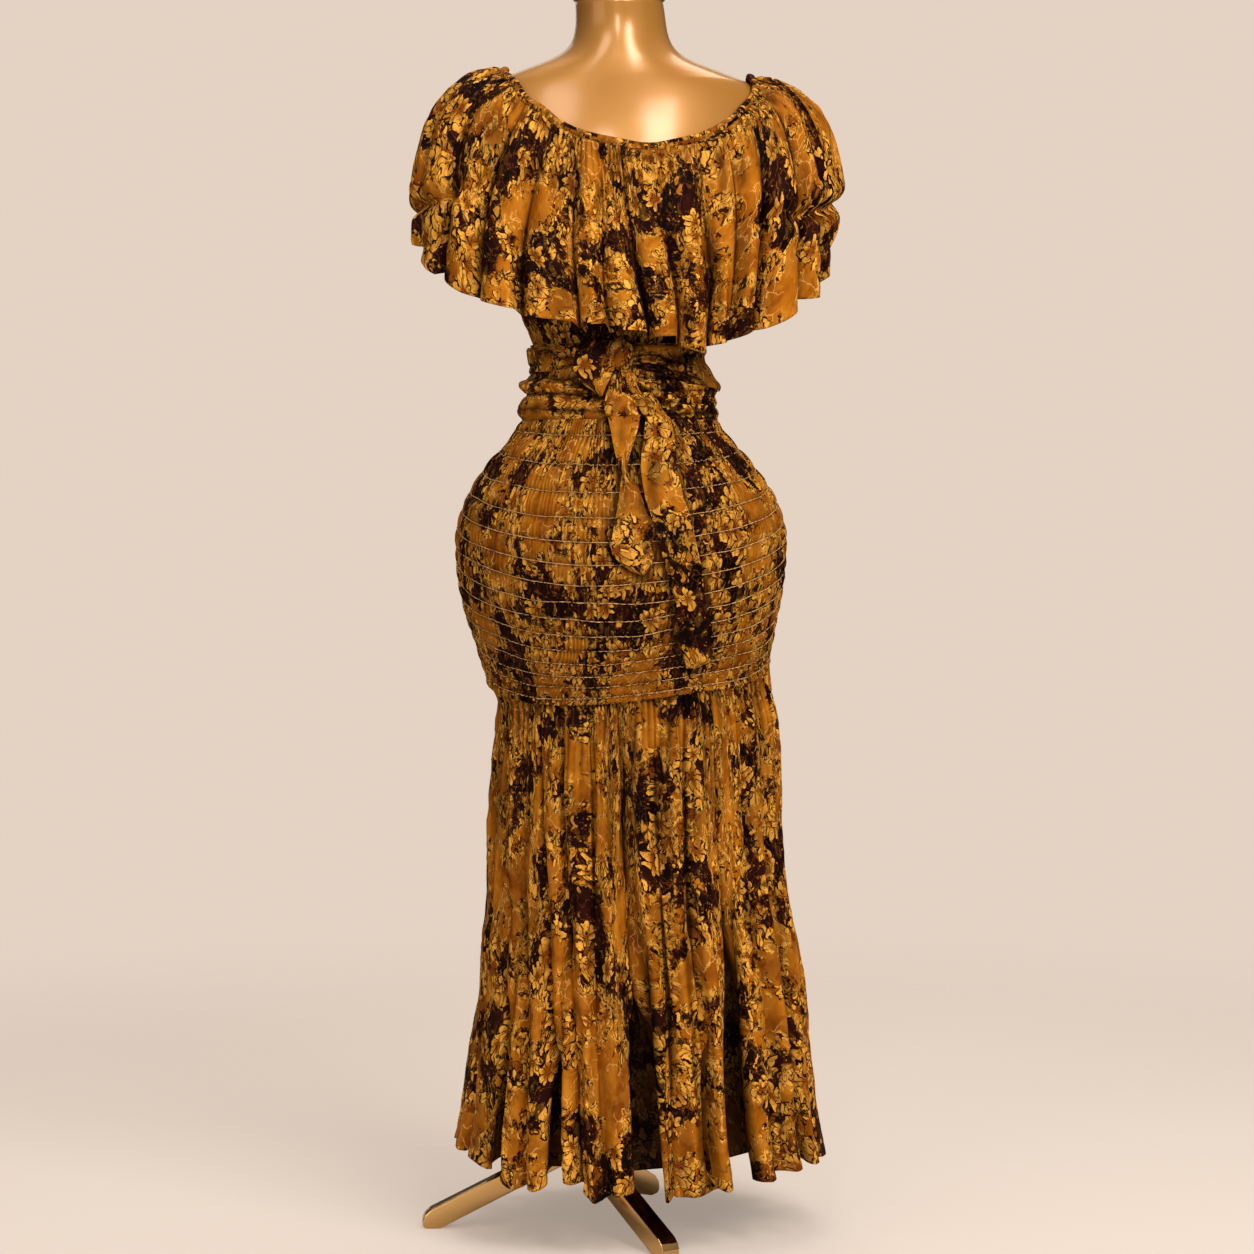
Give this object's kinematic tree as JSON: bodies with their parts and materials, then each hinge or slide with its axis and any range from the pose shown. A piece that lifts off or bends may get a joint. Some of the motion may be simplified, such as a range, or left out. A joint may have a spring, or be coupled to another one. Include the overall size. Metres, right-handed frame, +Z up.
{
  "type": "off-shoulder maxi dress on dress form",
  "caption": "Long off-shoulder dress with a deep gathered flounce, shirred hips, back tie and gathered skirt, on a limbless dress form with a three-legged stand.",
  "frame": {"origin": "middle of the bounding box on the floor, under the form's feet", "axes": "+Z up, -Y towards the back of the dress, +X towards the wearer's right side"},
  "size_m": [0.5266, 0.4016, 1.486],
  "materials": {
    "dress_cloth": "soft crinkled weave with a mottled ochre, gold and dark plum print",
    "form_skin": "smooth satin gold paint",
    "stand_metal": "polished gold-coloured plate"
  },
  "bodies": {
    "root": {"neck_casing": "dress_cloth", "flounce_back": "dress_cloth", "flounce_front": "dress_cloth", "bodice_back": "dress_cloth", "bodice_front": "dress_cloth", "waist_back": "dress_cloth", "waist_front": "dress_cloth", "hip_back": "dress_cloth", "hip_front": "dress_cloth", "skirt_back": "dress_cloth", "skirt_front": "dress_cloth", "tie_left": "dress_cloth", "tie_right": "dress_cloth", "tie_knot": "dress_cloth", "tie_loop": "dress_cloth", "tie_tail_left": "dress_cloth", "tie_tail_right": "dress_cloth", "form_torso": "form_skin", "neck_cap": "form_skin", "stand_pole": "stand_metal", "stand_hub": "stand_metal", "stand_screw": "stand_metal", "stand_leg_1": "stand_metal", "stand_leg_2": "stand_metal", "stand_leg_3": "stand_metal"}
  },
  "joints": []
}
